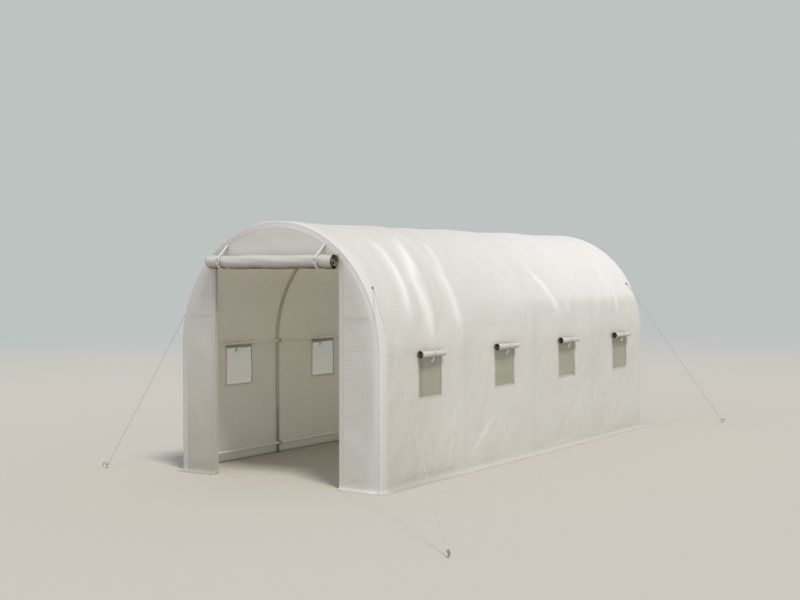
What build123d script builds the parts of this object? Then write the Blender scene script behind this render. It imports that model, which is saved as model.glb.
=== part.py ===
from build123d import *
import os
from math import atan2, cos, degrees, radians, sin, sqrt, tan

# Walk-in polytunnel greenhouse: a grid-reinforced film cover on five steel hoops, with a
# roll-up door, four mesh windows a side and four guy ropes. Millimetres, +Z up, the door
# faces -Y, and the origin is on the ground under the middle of the tunnel.

# Tunnel, outside the film
width = 2000.0
length = 4500.0
wall_height = 1000.0
bays = 4

# Film cover: its thickness, its sag between hoops and its skirt on the ground
film = 2.0
sag = 10.0
skirt_height = 60.0
skirt_knee_height = 22.0
skirt_knee = 12.0
skirt_flare = 50.0
skirt_hem = 15.0

# Steel tubes
hoop_diameter = 25.0
rail_diameter = 19.0
base_rail_height = 90.0
tie_rise = 260.0
clip_wall = 5.0
fit = 0.3

# Doorway between two front panels, its zips and the rolled-up door
panel_width = 380.0
header_drop = 65.0
zip_width = 40.0
zip_tape = 1.0
zip_coil_width = 7.0
zip_coil = 2.5
door_roll_overlap = 45.0
door_roll_diameter = 112.0
door_roll_film = 4.0
door_roll_pitch = 9.0
strap_width = 24.0
strap = 2.0
strap_inset = 175.0
strap_rise = 125.0
strap_lean = 17.0
buckle_width = 34.0
buckle_height = 42.0
buckle_depth = 5.0
buckle_bar = 6.0

# Windows, one a bay on each side, and their rolled-up flaps
window_width = 300.0
window_height = 330.0
window_drop = 15.0
window_offset = 75.0
window_mesh = 1.0
window_hem = 25.0
flap_length = 400.0
flap_diameter = 58.0
flap_film = 2.5
flap_pitch = 7.0
flap_tie_offset = 90.0
flap_tie_width = 12.0
flap_tie = 1.0
flap_tie_tail = 30.0

# Guy ropes: eyelets at an angle up the roof's arch near each end, and the pegs they run to
eyelet_angle = 29.34
eyelet_inset = 84.0
eyelet_radius = 13.0
eyelet_hole = 6.0
eyelet_thickness = 3.0
rope_diameter = 5.0
knot_radius = 7.0
peg_diameter = 7.0
peg_height = 48.0
peg_hook = 14.0
rope_height_on_peg = 20.0
# Pegs: how far out from the tunnel's side, and how far on from its end
front_right_peg = (1506.0, 1374.0)
front_left_peg = (600.0, 264.0)
rear_right_peg = (600.0, 770.0)
rear_left_peg = front_right_peg

# Values that follow from the sizes above
radius = width / 2
wrap_radius = film + fit + hoop_diameter / 2
hoop_line = radius - wrap_radius
end_hoop = length / 2 - wrap_radius
hoop_y = [-end_hoop + 2 * end_hoop * i / bays for i in range(bays + 1)]
rail_line = hoop_line - hoop_diameter / 2 - fit - rail_diameter / 2
roof_axis = Axis((0, 0, wall_height), (0, -1, 0))
tie_height = wall_height + tie_rise
door_width = width - 2 * panel_width
post_x = door_width / 2 + hoop_diameter / 2 + fit
post_top = wall_height + sqrt(hoop_line**2 - post_x**2)
door_height = post_top - header_drop
door_roll_length = door_width + 2 * door_roll_overlap
strap_spacing = door_roll_length - 2 * strap_inset
window_top = wall_height - window_drop
window_sill = window_top - window_height
nodes = {}


def tube(start, end, diameter):
    """A straight round bar or tube between two points."""
    start, end = Vector(*start), Vector(*end)
    return extrude(Plane(start, z_dir=end - start) * Circle(diameter / 2), (end - start).length)


def line_along_hoops(first, last, offset, droop):
    """Half plan of a line from hoop first to hoop last, an offset outside the cover.

    It dips in between the hoops by droop and turns round the end hoops."""
    out = radius + offset
    turn = wrap_radius + offset
    lean = turn * sqrt(0.5)
    front, rear = hoop_y[0], hoop_y[-1]
    edges = []
    if first == 0:
        start, middle = (hoop_line, front - turn), (hoop_line + lean, front - lean)
        edges.append(ThreePointArc(start, middle, (out, front)))
    for y, next_y in zip(hoop_y[first:last], hoop_y[first + 1:last + 1]):
        if droop:
            edges.append(ThreePointArc((out, y), (out - droop, (y + next_y) / 2), (out, next_y)))
        else:
            edges.append(Line((out, y), (out, next_y)))
    if last == bays:
        middle, end = (hoop_line + lean, rear + lean), (hoop_line, rear + turn)
        edges.append(ThreePointArc((out, rear), middle, end))
    return edges


def strip_along_hoops(first, last, outside, inside, droop=sag):
    """Plan of a strip of film between two offsets from the cover's outer face."""
    outer = line_along_hoops(first, last, outside, droop)
    inner = line_along_hoops(first, last, inside, droop)
    ends = [Line(outer[0] @ 0, inner[0] @ 0), Line(outer[-1] @ 1, inner[-1] @ 1)]
    return make_face(outer + inner + ends)


def cover_reach(y):
    """How far the cover's outer face is from the tunnel's axis at y, where it is not turning."""
    bay = min(int((y - hoop_y[0]) / (hoop_y[1] - hoop_y[0])), bays - 1)
    half = (hoop_y[1] - hoop_y[0]) / 2
    arc = (half**2 + sag**2) / (2 * sag)
    from_middle = y - hoop_y[bay] - half
    return radius - sag + arc - sqrt(arc**2 - from_middle**2)


def end_outline(base):
    """Outline of an end wall of the cover, inside the edge that wraps round the hoop."""
    low_left, low_right = (-hoop_line, base), (hoop_line, base)
    left, right = (-hoop_line, wall_height), (hoop_line, wall_height)
    crown = ThreePointArc(right, (0, wall_height + hoop_line), left)
    sides = [Line(left, low_left), Line(low_left, low_right), Line(low_right, right)]
    return make_face(sides + [crown])


def upright_sheet(outline, y, thickness=film):
    """A sheet across the tunnel, drawn in X and Z, with its back face at y."""
    return Pos(0, y, 0) * extrude(Plane.XZ * outline, thickness)


def both_sides(shape):
    """The shape and its mirror image across the middle plane, as one node."""
    return Compound(children=[*shape.solids(), *mirror(shape, Plane.YZ).solids()])


def spiral_roll(diameter, sheet, pitch, turns):
    """Section of a loosely rolled sheet, made of half circles that shrink by half a pitch."""
    edges = []
    for start_radius in (diameter / 2, diameter / 2 - sheet):
        centre, reach = 0.0, start_radius
        side = 1
        for _ in range(2 * turns):
            start = (centre + side * reach, 0)
            middle = (centre, side * reach)
            end = (centre - side * reach, 0)
            edges.append(ThreePointArc(start, middle, end))
            centre -= side * pitch / 4
            reach -= pitch / 4
            side = -side
    half = len(edges) // 2
    edges.append(Line(edges[0] @ 0, edges[half] @ 0))
    edges.append(Line(edges[half - 1] @ 1, edges[2 * half - 1] @ 1))
    return make_face(edges)


# Hoops: one bent tube from the ground, over the arch and down to the ground
def hoop(y, diameter=hoop_diameter):
    path = Polyline((hoop_line, y, 0), (hoop_line, y, wall_height))
    path += ThreePointArc(
        (hoop_line, y, wall_height), (0, y, wall_height + hoop_line), (-hoop_line, y, wall_height)
    )
    path += Line((-hoop_line, y, wall_height), (-hoop_line, y, 0))
    return sweep(Plane((hoop_line, y, 0)) * Circle(diameter / 2), path)


hoop_names = ["front_hoop"] + [f"hoop_{i + 1}" for i in range(1, bays)] + ["rear_hoop"]
for name, y in zip(hoop_names, hoop_y):
    nodes[name] = hoop(y)

# Long rails: the ridge and eaves rails run inside the hoops, and so do the base rails
rail_end = end_hoop + hoop_diameter / 2


def long_rail(x, z):
    return tube((x, -rail_end, z), (x, rail_end, z), rail_diameter)


nodes["ridge_rail"] = long_rail(0, wall_height + rail_line)
for side, sign in (("right", 1), ("left", -1)):
    nodes[f"eaves_rail_{side}"] = long_rail(sign * rail_line, wall_height)
    nodes[f"base_rail_{side}"] = long_rail(sign * rail_line, base_rail_height)


# Clips: a moulded block at each crossing, round the rail and half round the hoop
def clip():
    """One clip with the hoop's axis at the origin, upright, and the rail on its -X side."""
    to_rail = hoop_line - rail_line
    depth = to_rail + rail_diameter / 2 + clip_wall
    body = Pos(-depth / 2, 0, 0) * Box(
        depth, hoop_diameter + 2 * clip_wall, rail_diameter + 2 * clip_wall
    )
    body = fillet(body.edges().filter_by(Axis.Y).group_by(Axis.X)[0], clip_wall)
    reach = hoop_diameter + 4 * clip_wall
    body -= Cylinder(hoop_diameter / 2 + fit, reach)
    body -= Pos(-to_rail, 0, 0) * Rot(90, 0, 0) * Cylinder(rail_diameter / 2 + fit, 2 * reach)
    return body


inside = Box(2 * width, length - 2 * film - 2 * fit, 4 * (wall_height + radius))
clip_rows = {
    "ridge_clips": Pos(0, 0, wall_height + hoop_line) * Rot(0, -90, 0),
    "eaves_clips_right": Pos(hoop_line, 0, wall_height),
    "eaves_clips_left": Pos(-hoop_line, 0, wall_height) * Rot(0, 0, 180),
    "base_clips_right": Pos(hoop_line, 0, base_rail_height),
    "base_clips_left": Pos(-hoop_line, 0, base_rail_height) * Rot(0, 0, 180),
}
for name, place in clip_rows.items():
    clips = [(Pos(0, y, 0) * place * clip()) & inside for y in hoop_y]
    nodes[name] = Compound(children=[s for c in clips for s in c.solids()])

# Front frame: two door posts under the arch, a header over the door and a tie each side
hoop_clearance = hoop(-end_hoop, hoop_diameter + 2 * fit)
post = tube((post_x, -end_hoop, 0), (post_x, -end_hoop, post_top), hoop_diameter) - hoop_clearance
nodes["door_posts"] = both_sides(max(post.solids(), key=lambda s: s.volume))
header_z = door_height + hoop_diameter / 2
post_face = post_x - hoop_diameter / 2 - fit
nodes["door_header"] = tube(
    (-post_face, -end_hoop, header_z), (post_face, -end_hoop, header_z), rail_diameter
)
tie_end = sqrt(hoop_line**2 - tie_rise**2)
tie_start = post_x + hoop_diameter / 2 + fit
tie = tube((tie_start, -end_hoop, tie_height), (tie_end, -end_hoop, tie_height), rail_diameter)
nodes["front_ties"] = both_sides(max((tie - hoop_clearance).solids(), key=lambda s: s.volume))

# Rear frame: a cross rail at tie height and one at the base, between the long rails
rear_y = end_hoop - hoop_diameter / 2 - fit - rail_diameter / 2
base_half = rail_line - rail_diameter / 2 - clip_wall - fit
nodes["rear_base_rail"] = tube(
    (-base_half, rear_y, base_rail_height), (base_half, rear_y, base_rail_height), rail_diameter
)
nodes["rear_cross_rail"] = tube(
    (-tie_end, rear_y, tie_height), (tie_end, rear_y, tie_height), rail_diameter
)

# Cover, roof: one half-round sheet a bay, which dips in between its hoops
roof_names = ["roof_front_bay"] + [f"roof_bay_{i + 1}" for i in range(1, bays - 1)]
roof_names += ["roof_rear_bay"]
for bay, name in enumerate(roof_names):
    section = Pos(0, 0, wall_height) * strip_along_hoops(bay, bay + 1, 0, -film)
    nodes[name] = revolve(section, roof_axis, 180)

# Cover, side walls, with the windows cut through
window_y = [(a + b) / 2 + window_offset for a, b in zip(hoop_y, hoop_y[1:])]
wall = extrude(
    Pos(0, 0, skirt_height) * strip_along_hoops(0, bays, 0, -film), wall_height - skirt_height
)
for y in window_y:
    wall -= Pos(radius, y, (window_sill + window_top) / 2) * Box(
        8 * wrap_radius, window_width, window_height
    )
nodes["wall_right"] = wall
nodes["wall_left"] = mirror(wall, Plane.YZ)

# Cover, end walls: two panels and a gable at the front, and one sheet at the rear
front_face = -length / 2
outline = end_outline(skirt_height)
half_door = door_width / 2
beside_door = Pos(half_door + radius, 0) * Rectangle(2 * radius, 4 * (wall_height + radius))
over_door = Pos(0, door_height + radius) * Rectangle(door_width, 2 * radius)
panel = upright_sheet(outline & beside_door, front_face + film)
nodes["front_panel_right"] = panel
nodes["front_panel_left"] = mirror(panel, Plane.YZ)
nodes["front_gable"] = upright_sheet(outline & over_door, front_face + film)
nodes["rear_wall"] = upright_sheet(outline, length / 2)

# Cover, skirt: flares out to a flat hem on the ground, all round but for the doorway
flare_top = Pos(0, 0, skirt_height) * strip_along_hoops(0, bays, 0, -film)
flare_knee = Pos(0, 0, skirt_knee_height) * strip_along_hoops(
    0, bays, skirt_knee, skirt_knee - film, sag / 2
)
flare_foot = Pos(0, 0, film) * strip_along_hoops(0, bays, skirt_flare, skirt_flare - film, 0)
hem = strip_along_hoops(0, bays, skirt_flare + skirt_hem, skirt_flare - film, 0)
skirt = loft([flare_top, flare_knee, flare_foot], ruled=True) + extrude(hem, film)
nodes["skirt_right"] = skirt
nodes["skirt_left"] = mirror(skirt, Plane.YZ)


def end_skirt(x_from, x_to):
    """Skirt along the front, in the same section as the corners it meets."""
    corners = [
        (0, skirt_height),
        (film, skirt_height),
        (film - skirt_knee, skirt_knee_height),
        (film - skirt_flare, film),
        (film - skirt_flare, 0),
        (-skirt_flare - skirt_hem, 0),
        (-skirt_flare - skirt_hem, film),
        (-skirt_flare, film),
        (-skirt_knee, skirt_knee_height),
    ]
    section = make_face(Polyline(*corners, close=True))
    return Pos(x_from, front_face, 0) * extrude(Plane.YZ * section, x_to - x_from)


nodes["front_skirt_right"] = end_skirt(half_door, hoop_line)
nodes["front_skirt_left"] = end_skirt(-hoop_line, -half_door)
nodes["rear_skirt"] = mirror(end_skirt(-hoop_line, hoop_line), Plane.XZ)

# Door zips: a tape down each edge of the doorway, with the coil along the edge
zip_height = door_height - skirt_height
tape = Pos(half_door + zip_width / 2, skirt_height + zip_height / 2) * Rectangle(
    zip_width, zip_height
)
coil = Pos(half_door + zip_coil_width / 2, skirt_height + zip_height / 2) * Rectangle(
    zip_coil_width, zip_height
)
nodes["door_zips"] = both_sides(
    upright_sheet(tape, front_face, zip_tape) + upright_sheet(coil, front_face, zip_coil)
)

# Rolled-up door, against the gable, and the two straps that hold it up
roll_radius = door_roll_diameter / 2
roll_y = front_face - strap - 2 * fit - roll_radius
door_turns = 4
roll = Plane.YZ * Rot(0, 0, 90) * spiral_roll(
    door_roll_diameter, door_roll_film, door_roll_pitch, door_turns
)
nodes["door_roll"] = Pos(-door_roll_length / 2, roll_y, door_height) * extrude(
    roll, door_roll_length
)


def strap_loop(x):
    """Flat strap that leans as it passes from the gable behind, under and before the roll."""
    hang_y, hang_z = front_face - fit - 1.5 * strap, door_height + strap_rise
    inner = roll_radius + fit
    outlines = []
    for grow in (0, strap):
        hanger = Pos(hang_y, hang_z) * Circle(strap / 2 + grow / 2)
        round_roll = Pos(roll_y, door_height) * Circle(inner + grow)
        outlines.append(make_hull((hanger + round_roll).edges()))
    loop = outlines[1] - outlines[0]
    sleeve = Pos(x, 0, 0) * extrude(Plane.YZ * loop, strap_rise, both=True)
    lane = Box(strap_width, 4 * door_roll_diameter, 4 * strap_rise)
    return sleeve & (Pos(x, roll_y, hang_z) * Rot(0, strap_lean, 0) * lane)


def buckle(x):
    """Ladder buckle on the front of the strap: a frame with a middle bar."""
    outside = RectangleRounded(buckle_width, buckle_height, buckle_bar)
    slot_height = (buckle_height - 3 * buckle_bar) / 2
    slot = Rectangle(strap_width + 2 * fit, slot_height)
    step = (slot_height + buckle_bar) / 2
    plate = outside - Pos(0, step) * slot - Pos(0, -step) * slot
    place = (x - strap_rise * tan(radians(strap_lean)), roll_y - roll_radius - strap - 2 * fit)
    return Pos(*place, door_height) * Rot(0, strap_lean, 0) * extrude(Plane.XZ * plate, buckle_depth)


strap_x = (-strap_spacing / 2, strap_spacing / 2)
nodes["door_straps"] = Compound(children=[s for x in strap_x for s in strap_loop(x).solids()])
nodes["door_buckles"] = Compound(children=[s for x in strap_x for s in buckle(x).solids()])

# Window mesh: a panel behind each opening, wider than it by the hem it is sewn to
mesh_width = window_width + 2 * window_hem
meshes = []
for bay, y in enumerate(window_y):
    plan = strip_along_hoops(bay, bay + 1, -film - fit, -film - fit - window_mesh)
    plan &= Pos(radius, y) * Rectangle(8 * wrap_radius, mesh_width)
    sheet = extrude(Pos(0, 0, window_sill - window_hem) * plan, window_height + window_hem)
    meshes += sheet.solids()
nodes["window_meshes_right"] = Compound(children=meshes)
nodes["window_meshes_left"] = mirror(nodes["window_meshes_right"], Plane.YZ)

# Window flaps, rolled up over the openings, and a tie round each
flap_radius = flap_diameter / 2
flap_turns = 3
flap_section = spiral_roll(flap_diameter, flap_film, flap_pitch, flap_turns)
flaps = []
ties = []
for y in window_y:
    tie_y = y + flap_tie_offset
    seat = max(cover_reach(y - flap_length / 2), cover_reach(y + flap_length / 2)) + fit
    flap_x = max(seat, cover_reach(tie_y) + flap_tie + 2 * fit) + flap_radius
    roll = extrude(Plane.XZ * flap_section, flap_length)
    flaps += (Pos(flap_x, y + flap_length / 2, window_top) * roll).solids()
    ring = Circle(flap_radius + fit + flap_tie) - Circle(flap_radius + fit)
    tail = Pos(0, -flap_radius - fit - flap_tie - flap_tie_tail / 2) * Rectangle(
        flap_tie, flap_tie_tail + flap_tie
    )
    band = Pos(flap_x, tie_y + flap_tie_width / 2, window_top) * extrude(
        Plane.XZ * (ring + tail), flap_tie_width
    )
    ties += band.solids()
nodes["window_flaps_right"] = Compound(children=flaps)
nodes["window_flaps_left"] = mirror(nodes["window_flaps_right"], Plane.YZ)
nodes["window_ties_right"] = Compound(children=ties)
nodes["window_ties_left"] = mirror(nodes["window_ties_right"], Plane.YZ)

# Guy ropes, from a metal eyelet in the roof near each corner to a peg in the ground
pegs_at = {
    "front_right": front_right_peg,
    "front_left": front_left_peg,
    "rear_right": rear_right_peg,
    "rear_left": rear_left_peg,
}
eyelets = []
pegs = []
for corner, (peg_out, peg_on) in pegs_at.items():
    side = 1 if "right" in corner else -1
    end = -1 if "front" in corner else 1
    peg_x, peg_y = side * (radius + peg_out), end * (length / 2 + peg_on)
    normal = Vector(side * cos(radians(eyelet_angle)), 0, sin(radians(eyelet_angle)))
    y = end * (length / 2 - eyelet_inset)
    seat = max(cover_reach(y - eyelet_radius), cover_reach(y + eyelet_radius)) + fit
    on_film = Vector(0, y, wall_height) + normal * seat
    ring = Cylinder(eyelet_radius, eyelet_thickness) - Cylinder(eyelet_hole, eyelet_thickness)
    middle = on_film + normal * (eyelet_thickness / 2)
    eyelets += (Plane(middle, z_dir=normal) * ring).solids()

    # The peg's shank, with a hook that opens away from the tunnel
    away = atan2(peg_y - y, peg_x - on_film.X)
    shank_top = peg_height - peg_hook - peg_diameter / 2
    path = Line((0, 0, 0), (0, 0, shank_top))
    path += ThreePointArc(
        (0, 0, shank_top), (peg_hook, 0, shank_top + peg_hook), (2 * peg_hook, 0, shank_top)
    )
    path += Line((2 * peg_hook, 0, shank_top), (2 * peg_hook, 0, shank_top - peg_hook))
    shank = sweep(Circle(peg_diameter / 2), path)
    pegs += (Pos(peg_x, peg_y, 0) * Rot(0, 0, degrees(away)) * shank).solids()

    # The rope, from a knot on the eyelet to a loop round the peg's shank
    knot_sink = sqrt((knot_radius + fit) ** 2 - eyelet_hole**2)
    knot = on_film + normal * (eyelet_thickness + knot_sink)
    loop_radius = peg_diameter / 2 + fit + rope_diameter / 2
    loop_at = Vector(peg_x, peg_y, rope_height_on_peg)
    toward = Vector(-cos(away), -sin(away), 0)
    rope_end = loop_at + toward * (loop_radius + rope_diameter / 4)
    rope = tube(knot, rope_end, rope_diameter) + Pos(*knot) * Sphere(knot_radius)
    nodes[f"rope_{corner}"] = rope + Pos(*loop_at) * Torus(loop_radius, rope_diameter / 2)
nodes["rope_eyelets"] = Compound(children=eyelets)
nodes["rope_pegs"] = Compound(children=pegs)

os.makedirs("parts", exist_ok=True)
for name, shape in nodes.items():
    export_step(shape, f"parts/{name}.step")
print(len(nodes), "nodes")
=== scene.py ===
import math
import random

import bpy
import numpy as np
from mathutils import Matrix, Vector


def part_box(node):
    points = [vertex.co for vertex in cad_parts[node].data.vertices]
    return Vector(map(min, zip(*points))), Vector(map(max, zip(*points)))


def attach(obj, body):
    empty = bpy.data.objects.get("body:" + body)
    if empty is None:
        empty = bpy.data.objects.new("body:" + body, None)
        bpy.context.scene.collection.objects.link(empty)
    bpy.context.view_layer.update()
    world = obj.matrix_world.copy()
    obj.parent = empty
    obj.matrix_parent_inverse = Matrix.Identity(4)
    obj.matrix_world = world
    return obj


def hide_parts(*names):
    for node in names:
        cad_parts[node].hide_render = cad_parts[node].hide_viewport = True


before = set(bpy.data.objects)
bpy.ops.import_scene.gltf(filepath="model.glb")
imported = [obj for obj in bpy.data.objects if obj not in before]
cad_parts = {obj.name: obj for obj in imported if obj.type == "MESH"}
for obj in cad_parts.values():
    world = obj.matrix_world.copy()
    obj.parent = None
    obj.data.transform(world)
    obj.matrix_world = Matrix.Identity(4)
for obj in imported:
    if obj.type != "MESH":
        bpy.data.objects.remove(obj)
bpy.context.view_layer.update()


# Camera: the photograph's view, from the front right at about eye height. The photograph is
# cropped to the right of its lens axis, which the small sideways shift repeats.
def add_object(name, data):
    """An object in the scene, at the origin."""
    thing = bpy.data.objects.new(name, data)
    bpy.context.scene.collection.objects.link(thing)
    return thing


picture_width = 800
focal_pixels = 1213.12
lens_axis_x = 480.0
sensor_mm = 36.0
look_down = math.radians(1.32)
heading = Vector((-0.5315, 0.8470, -math.tan(look_down)))

camera = add_object("camera", bpy.data.cameras.new("camera"))
camera.location = (6.271, -9.291, 1.607)
camera.rotation_euler = heading.to_track_quat("-Z", "Y").to_euler()
camera.data.sensor_width = sensor_mm
camera.data.lens = sensor_mm * focal_pixels / picture_width
camera.data.shift_x = (picture_width / 2 - lens_axis_x) / picture_width
bpy.context.scene.camera = camera
bpy.context.scene.view_settings.view_transform = "Standard"


# Daylight and floor: a soft sun high on the camera's side, an even sky, and a pale floor that
# runs out into a plain pale backdrop.
def colour(code):
    """An sRGB hex value as a linear colour with alpha."""
    parts = [int(code[i:i + 2], 16) / 255 for i in (1, 3, 5)]
    return tuple(c / 12.92 if c <= 0.04045 else ((c + 0.055) / 1.055) ** 2.4 for c in parts) + (1.0,)


def add_node(tree, kind, settings=(), inputs=()):
    """A node with its settings, and its inputs by name or number.

    An input is set to a value, or linked to a socket or to the first output of a node.
    """
    node = tree.nodes.new(kind)
    for name, value in dict(settings).items():
        setattr(node, name, value)
    for name, value in dict(inputs).items():
        if isinstance(value, bpy.types.Node):
            value = value.outputs[0]
        if isinstance(value, bpy.types.NodeSocket):
            tree.links.new(value, node.inputs[name])
        else:
            node.inputs[name].default_value = value
    return node


def new_finish(name):
    """An empty material and its tree."""
    finish = bpy.data.materials.new(name)
    finish.use_nodes = True
    finish.node_tree.nodes.clear()
    return finish, finish.node_tree


def seen_as_it_is(tree, *kinds):
    """1 for the kinds of ray that show the backdrop's own tone, and 0 for the light itself."""
    rays = add_node(tree, "ShaderNodeLightPath").outputs
    seen = rays[kinds[0]]
    for kind in kinds[1:]:
        seen = add_node(tree, "ShaderNodeMath", {"operation": "MAXIMUM"}, {0: seen, 1: rays[kind]})
    return seen


sky_tone = "#EAF1FF"
sky_level = 0.66
sun_tone = "#FFFAF2"
sun_level = 2.42
sun_from = Vector((0.49, -0.25, 0.84))
sun_softness = math.radians(14)
backdrop_tone = "#BDC3C1"
floor_tone = "#BDB9AF"
floor_reach = 60.0
floor_level = -0.0006
fade_from = 7.0
fade_to = 22.0

sun = add_object("sun", bpy.data.lights.new("sun", "SUN"))
sun.rotation_euler = sun_from.to_track_quat("Z", "Y").to_euler()
sun.data.energy = sun_level
sun.data.color = colour(sun_tone)[:3]
sun.data.angle = sun_softness

sky = bpy.data.worlds.new("sky")
bpy.context.scene.world = sky
sky.use_nodes = True
tree = sky.node_tree
tree.nodes.clear()
seen = seen_as_it_is(tree, "Is Camera Ray", "Is Glossy Ray", "Is Transmission Ray")
daylight = add_node(tree, "ShaderNodeBackground", (), {"Color": colour(sky_tone), "Strength": sky_level})
backdrop = add_node(tree, "ShaderNodeBackground", (), {"Color": colour(backdrop_tone), "Strength": 1.0})
both = add_node(tree, "ShaderNodeMixShader", (), {0: seen, 1: daylight, 2: backdrop})
add_node(tree, "ShaderNodeOutputWorld", (), {"Surface": both})

floor_finish, tree = new_finish("pale floor")
place = add_node(tree, "ShaderNodeTexCoord").outputs["Object"]
away = add_node(tree, "ShaderNodeVectorMath", {"operation": "LENGTH"}, {0: place}).outputs["Value"]
fade = add_node(tree, "ShaderNodeMapRange", {"interpolation_type": "SMOOTHSTEP"},
                {"Value": away, "From Min": fade_from, "From Max": fade_to})
seen = seen_as_it_is(tree, "Is Camera Ray", "Is Glossy Ray")
fade = add_node(tree, "ShaderNodeMath", {"operation": "MULTIPLY"}, {0: fade, 1: seen})
matt = add_node(tree, "ShaderNodeBsdfDiffuse", (), {"Color": colour(floor_tone)})
far = add_node(tree, "ShaderNodeEmission", (), {"Color": colour(backdrop_tone)})
both = add_node(tree, "ShaderNodeMixShader", (), {0: fade, 1: matt, 2: far})
add_node(tree, "ShaderNodeOutputMaterial", (), {"Surface": both})

floor_mesh = bpy.data.meshes.new("floor")
corners = [(x * floor_reach, y * floor_reach, floor_level) for x, y in ((-1, -1), (1, -1), (1, 1), (-1, 1))]
floor_mesh.from_pydata(corners, [], [(0, 1, 2, 3)])
floor_mesh.materials.append(floor_finish)
add_object("floor", floor_mesh)


# Hoops, rails and posts: roll-formed steel tube. The hoops are bent tubes, and the straight rails
# run inside them from end to end.
def joined(points_and_faces):
    """Several (points, faces) as one."""
    points, faces = [], []
    for some_points, some_faces in points_and_faces:
        faces += [tuple(i + len(points) for i in face) for face in some_faces]
        points += [tuple(p) for p in some_points]
    return points, faces


def take_place(piece, replaced=()):
    """Puts a piece on the body and the nodes that it stands for."""
    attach(piece, "root")
    if replaced:
        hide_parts(*replaced)
    return piece


def add_piece(name, points, faces, finish, slot, replaced=(), smooth=True):
    """A mesh piece in its place, with its finish."""
    mesh = bpy.data.meshes.new(name)
    mesh.from_pydata([tuple(p) for p in points], [], faces)
    mesh.polygons.foreach_set("use_smooth", [smooth] * len(mesh.polygons))
    mesh.materials.append(finish)
    return take_place(add_object(name, mesh), replaced)


def dress(node, finish):
    """A finish on a CAD node's own mesh."""
    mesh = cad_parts[node].data
    mesh.materials.clear()
    mesh.materials.append(finish)


def tube_along(path, radius, sides=20, capped=True):
    """Points and faces of a round tube along a path that has no sharp turn."""
    path = np.asarray(path, float)
    along = np.gradient(path, axis=0)
    along /= np.linalg.norm(along, axis=1)[:, None]
    across = np.cross(along[0], (0.3, 0.2, 1.0) if abs(along[0][2]) < 0.9 else (0.0, 1.0, 0.0))
    turn = np.linspace(0, 2 * math.pi, sides, endpoint=False)[:, None]
    rings = []
    for place, ahead in zip(path, along):
        across = across - ahead * (across @ ahead)
        across /= np.linalg.norm(across)
        rings.append(place + radius * (np.cos(turn) * across + np.sin(turn) * np.cross(ahead, across)))
    faces = []
    for i in range(len(path) - 1):
        for j in range(sides):
            k = (j + 1) % sides
            faces.append((i * sides + j, i * sides + k, (i + 1) * sides + k, (i + 1) * sides + j))
    if capped:
        faces.append(tuple(range(sides - 1, -1, -1)))
        faces.append(tuple((len(path) - 1) * sides + j for j in range(sides)))
    return np.concatenate(rings), faces


def node_middle(node):
    """The middle of a CAD node's box."""
    low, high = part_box(node)
    return (low + high) / 2


def toned(tree, code, *layers):
    """A tone with others laid over it, each given as how much of it shows and its hex value."""
    tone = colour(code)
    for amount, code in layers:
        tone = add_node(tree, "ShaderNodeMix", {"data_type": "RGBA"},
                        {0: amount, 6: tone, 7: colour(code)}).outputs[2]
    return tone


def surfaced(tree, tone, relief=None, **surface):
    """Ends a material in one shader. Relief is its strength, its height and what draws it."""
    inputs = {label.replace("_", " "): value for label, value in surface.items()}
    if relief:
        inputs["Normal"] = add_node(tree, "ShaderNodeBump", (),
                                    {"Strength": relief[0], "Distance": relief[1], "Height": relief[2]})
    shader = add_node(tree, "ShaderNodeBsdfPrincipled", (), {"Base Color": tone, **inputs})
    add_node(tree, "ShaderNodeOutputMaterial", (), {"Surface": shader})


def plain_finish(name, tones, relief=None, rough=None, **surface):
    """A finish in one tone, or in two that a pattern mixes, for a part without a flat map.

    Tones, rough and relief each end in a pattern: a texture node's kind, output, settings and
    inputs, read on the part's own coordinates.
    """
    finish, tree = new_finish(name)

    def drawn(kind, output, settings, inputs):
        place = add_node(tree, "ShaderNodeTexCoord").outputs["Object"]
        return add_node(tree, kind, settings, {"Vector": place, **inputs}).outputs[output]

    if isinstance(tones, str):
        tone = colour(tones)
    else:
        tone = toned(tree, tones[0], (drawn(*tones[2]), tones[1]))
    if rough:
        surface["Roughness"] = add_node(tree, "ShaderNodeMapRange", (), {
            "Value": drawn(*rough[2]), "To Min": rough[0], "To Max": rough[1]})
    surfaced(tree, tone, relief and (*relief[:2], drawn(*relief[2])), **surface)
    return finish


# Hot-dip galvanising leaves soft spangles about 9 mm across, some duller than others.
spangle_mm = 9.0
spangles = ("ShaderNodeTexVoronoi", "Color", (), {"Scale": 1000 / spangle_mm})
clouds = ("ShaderNodeTexNoise", 0, (), {"Scale": 14.0, "Detail": 4.0})
galvanised = plain_finish("hot-dip galvanised steel tube", ("#B6B2A5", "#D0CCC0", spangles),
                          rough=(0.24, 0.36, clouds), Metallic=0.5)

# The long rails get a lighter off-white copy of the tube finish, a painted highlight for the light
# they catch from above through the roof. It is an even satin, slightly cloudy.
clouds = ("ShaderNodeTexNoise", 0, (), {"Scale": 22.0, "Detail": 4.0})
rail_finish_lit = plain_finish("off-white steel tube with painted highlight", ("#ECE8DF", "#F6F3EB", clouds),
                      Roughness=0.42)

# Thin electroplating on drawn tube looks dull and almost unpatterned.
clouds = ("ShaderNodeTexNoise", 0, (), {"Scale": 30.0, "Detail": 4.0})
dull_zinc = plain_finish("dull electroplated steel tube", ("#B3B0A5", "#C2BFB4", clouds),
                         Metallic=0.2, Roughness=0.5)

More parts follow.
